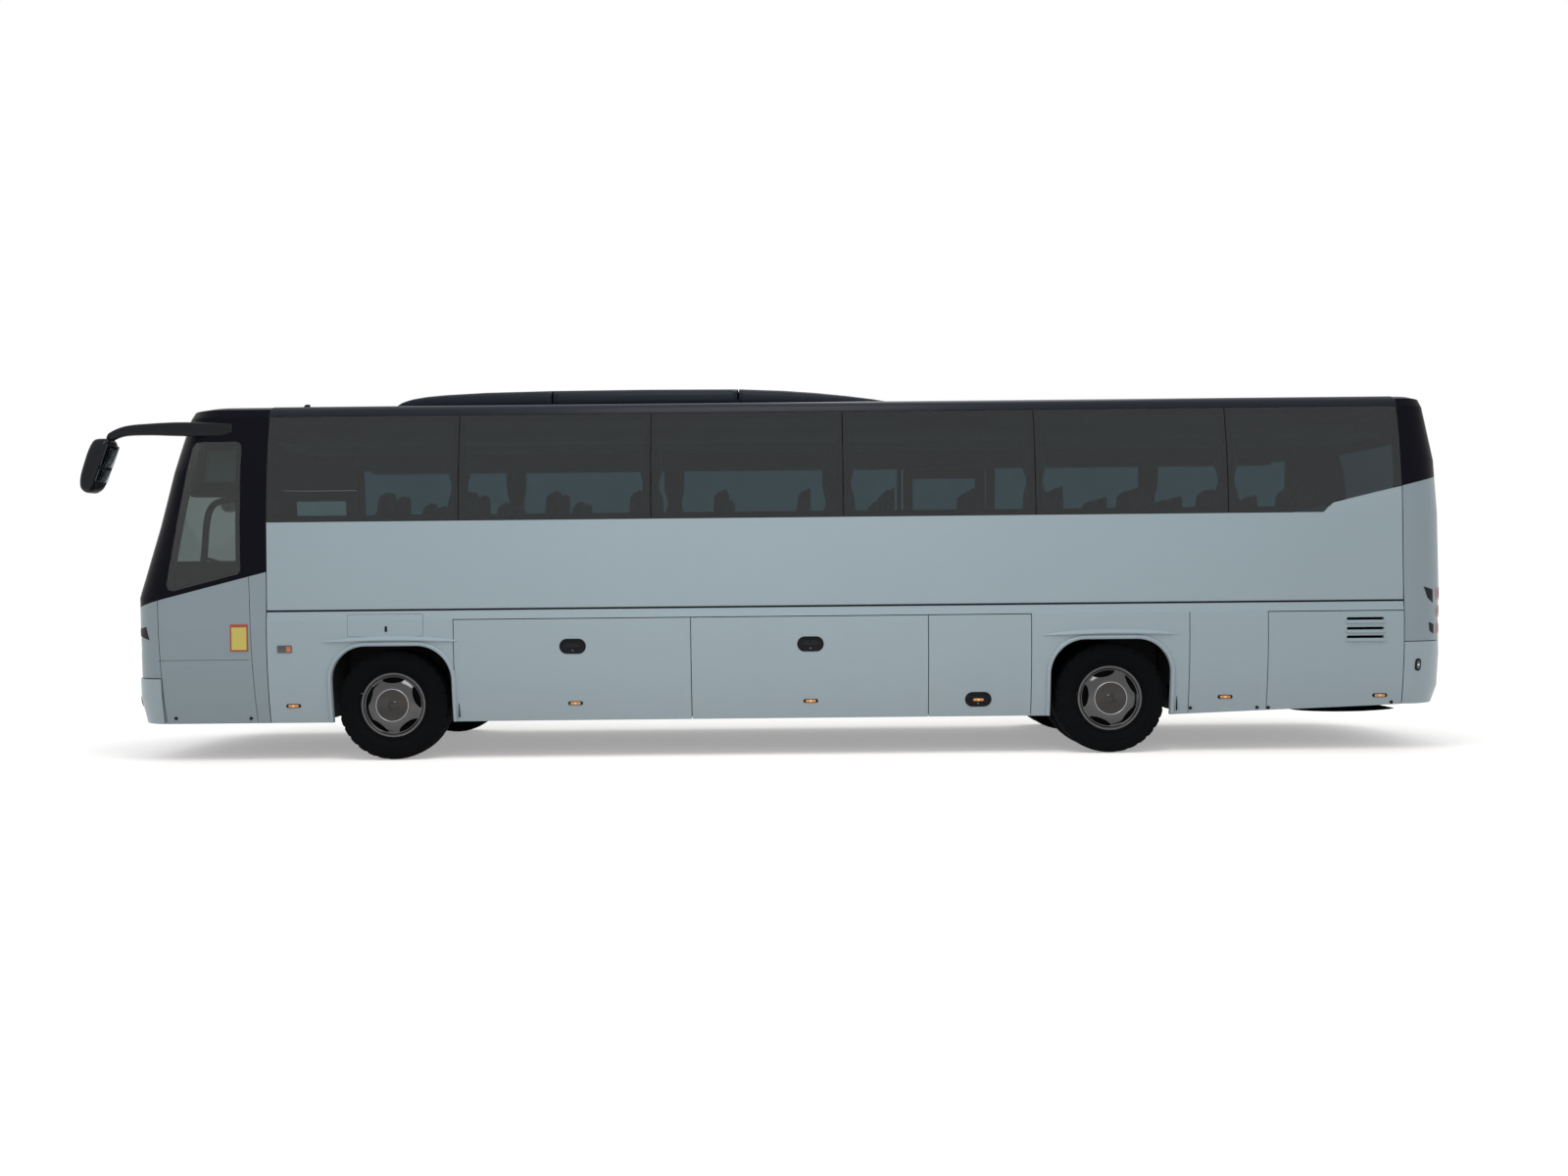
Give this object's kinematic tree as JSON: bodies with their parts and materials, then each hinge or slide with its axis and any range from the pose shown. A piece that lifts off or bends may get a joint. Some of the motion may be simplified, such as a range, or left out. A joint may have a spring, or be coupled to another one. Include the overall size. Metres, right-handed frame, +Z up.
{
  "type": "coach bus",
  "caption": "High-floor touring coach with tinted side glazing, roof air-conditioning, side luggage flaps, two passenger doors and steered front wheels.",
  "frame": {"origin": "on the ground, midway between the tips of the mirrors and the tail, on the centreline", "axes": "+X to the rear, +Y to the right-hand (door) side, +Z up"},
  "size_m": [12.9499, 3, 3.57],
  "materials": {
    "axle_steel": "black chassis paint",
    "bellows_rubber": "moulded rubber",
    "black_trim": "black moulding",
    "body_paint": "grey-white gloss paint",
    "curtain_cloth": "pleated cloth",
    "door_frame": "grey-white gloss paint",
    "engine_iron": "cast",
    "floor_covering": "ribbed covering",
    "frame_steel": "black chassis paint",
    "interior_plastic": "grained plastic",
    "lamp_lens": "clear and red lenses",
    "roof_paint": "black gloss paint",
    "roof_unit": "dark grey moulding",
    "seat_fabric": "woven cloth",
    "tinted_glass": "dark tinted glass",
    "tyre": "black rubber",
    "wheel_grip": "grained plastic",
    "wheel_trim": "polished steel trim"
  },
  "bodies": {
    "coach_body": {"air_conditioner": "roof_unit", "air_springs": "bellows_rubber", "curtains": "curtain_cloth", "dashboard": "interior_plastic", "engine": "engine_iron", "entry_steps": "floor_covering", "front_axle": "axle_steel", "front_bumper": "body_paint", "front_mask": "body_paint", "lamps": "lamp_lens", "lower_panels": "body_paint", "luggage_hold": "frame_steel", "luggage_racks": "interior_plastic", "middle_stair": "floor_covering", "mirrors": "black_trim", "rear_axle": "axle_steel", "rear_bumper": "body_paint", "rear_wall": "body_paint", "rear_window": "tinted_glass", "roof": "roof_paint", "saloon_floor": "floor_covering", "seats": "seat_fabric", "side_wall_left": "body_paint", "side_wall_right": "body_paint", "side_windows": "tinted_glass", "towing_sockets": "frame_steel", "underframe": "frame_steel", "wheelhouses": "frame_steel", "windscreen": "tinted_glass", "wipers": "black_trim"},
    "engine_flap_left": {"engine_flap_left": "body_paint"},
    "engine_flap_right": {"engine_flap_right": "body_paint"},
    "engine_lid": {"engine_lid": "body_paint"},
    "fuel_flap": {"fuel_flap": "body_paint"},
    "locker_flap_left": {"locker_flap_left": "body_paint"},
    "luggage_flap_front_left": {"luggage_flap_front_left": "body_paint"},
    "luggage_flap_front_right": {"luggage_flap_front_right": "body_paint"},
    "luggage_flap_rear_left": {"luggage_flap_rear_left": "body_paint"},
    "luggage_flap_rear_right": {"luggage_flap_rear_right": "body_paint"},
    "knuckle_left": {"knuckle_left": "axle_steel"},
    "knuckle_right": {"knuckle_right": "axle_steel"},
    "front_wheel_left": {"tyre_front_left": "tyre", "wheel_front_left": "wheel_trim"},
    "front_wheel_right": {"tyre_front_right": "tyre", "wheel_front_right": "wheel_trim"},
    "rear_wheels_left": {"tyres_rear_left": "tyre", "wheel_rear_left": "wheel_trim"},
    "rear_wheels_right": {"tyres_rear_right": "tyre", "wheel_rear_right": "wheel_trim"},
    "steering_wheel": {"steering_wheel": "wheel_grip"},
    "front_door_arm": {"front_door_arm": "black_trim"},
    "front_door": {"front_door": "door_frame", "front_door_glass": "tinted_glass"},
    "middle_door_arm": {"middle_door_arm": "black_trim"},
    "middle_door": {"middle_door": "door_frame", "middle_door_glass": "tinted_glass"}
  },
  "joints": [
    {"name": "engine_flap_left_hinge", "type": "hinge", "parent": "coach_body", "child": "engine_flap_left", "pos_m": [0, -1.275, 1.324], "axis": [-1, 0, 0], "range_deg": [0, 85]},
    {"name": "engine_flap_right_hinge", "type": "hinge", "parent": "coach_body", "child": "engine_flap_right", "pos_m": [0, 1.275, 1.324], "axis": [1, 0, 0], "range_deg": [0, 85]},
    {"name": "engine_lid_hinge", "type": "hinge", "parent": "coach_body", "child": "engine_lid", "pos_m": [6.469, 0, 2.18], "axis": [0, -1, 0], "range_deg": [0, 70]},
    {"name": "fuel_flap_hinge", "type": "hinge", "parent": "coach_body", "child": "fuel_flap", "pos_m": [-3.695, -1.2685, 1.382], "axis": [-1, 0, 0], "range_deg": [0, 85]},
    {"name": "locker_flap_left_hinge", "type": "hinge", "parent": "coach_body", "child": "locker_flap_left", "pos_m": [0, -1.275, 1.324], "axis": [-1, 0, 0], "range_deg": [0, 85]},
    {"name": "luggage_flap_front_left_hinge", "type": "hinge", "parent": "coach_body", "child": "luggage_flap_front_left", "pos_m": [0, -1.275, 1.324], "axis": [-1, 0, 0], "range_deg": [0, 85]},
    {"name": "luggage_flap_front_right_hinge", "type": "hinge", "parent": "coach_body", "child": "luggage_flap_front_right", "pos_m": [0, 1.275, 1.324], "axis": [1, 0, 0], "range_deg": [0, 85]},
    {"name": "luggage_flap_rear_left_hinge", "type": "hinge", "parent": "coach_body", "child": "luggage_flap_rear_left", "pos_m": [0, -1.275, 1.324], "axis": [-1, 0, 0], "range_deg": [0, 85]},
    {"name": "luggage_flap_rear_right_hinge", "type": "hinge", "parent": "coach_body", "child": "luggage_flap_rear_right", "pos_m": [0, 1.275, 1.324], "axis": [1, 0, 0], "range_deg": [0, 85]},
    {"name": "steer_left", "type": "hinge", "parent": "coach_body", "child": "knuckle_left", "pos_m": [-3.695, -0.93, 0.522], "axis": [0, 0, 1], "range_deg": [-40, 40]},
    {"name": "front_wheel_left_spin", "type": "hinge", "parent": "knuckle_left", "child": "front_wheel_left", "pos_m": [-3.695, -1.076, 0.522], "axis": [0, 1, 0], "continuous": true},
    {"name": "rear_wheels_left_spin", "type": "hinge", "parent": "coach_body", "child": "rear_wheels_left", "pos_m": [3.095, -1.076, 0.522], "axis": [0, 1, 0], "continuous": true},
    {"name": "steer_right", "type": "hinge", "parent": "coach_body", "child": "knuckle_right", "pos_m": [-3.695, 0.93, 0.522], "axis": [0, 0, 1], "range_deg": [-40, 40]},
    {"name": "front_wheel_right_spin", "type": "hinge", "parent": "knuckle_right", "child": "front_wheel_right", "pos_m": [-3.695, 1.076, 0.522], "axis": [0, 1, 0], "continuous": true},
    {"name": "rear_wheels_right_spin", "type": "hinge", "parent": "coach_body", "child": "rear_wheels_right", "pos_m": [3.095, 1.076, 0.522], "axis": [0, 1, 0], "continuous": true},
    {"name": "steering_wheel_turn", "type": "hinge", "parent": "coach_body", "child": "steering_wheel", "pos_m": [-5.485, -0.77, 1.83], "axis": [0.5, 0, 0.866], "range_deg": [-720, 720]},
    {"name": "front_door_arm_swing", "type": "hinge", "parent": "coach_body", "child": "front_door_arm", "pos_m": [-5.66, 1.155, 1.2], "axis": [0, 0, 1], "range_deg": [0, 100]},
    {"name": "front_door_leaf_swing", "type": "hinge", "parent": "front_door_arm", "child": "front_door", "pos_m": [-5.04, 1.155, 1.2], "axis": [0, 0, 1], "range_deg": [-100, 0]},
    {"name": "middle_door_arm_swing", "type": "hinge", "parent": "coach_body", "child": "middle_door_arm", "pos_m": [2.3, 1.155, 1.2], "axis": [0, 0, -1], "range_deg": [0, 100]},
    {"name": "middle_door_leaf_swing", "type": "hinge", "parent": "middle_door_arm", "child": "middle_door", "pos_m": [1.68, 1.155, 1.2], "axis": [0, 0, -1], "range_deg": [-100, 0]}
  ],
  "couplings": [
    {"joint": "steer_right", "follows": "steer_left", "ratio": 1},
    {"joint": "steering_wheel_turn", "follows": "steer_left", "ratio": 18},
    {"joint": "front_door_leaf_swing", "follows": "front_door_arm_swing", "ratio": -1},
    {"joint": "middle_door_leaf_swing", "follows": "middle_door_arm_swing", "ratio": -1}
  ]
}
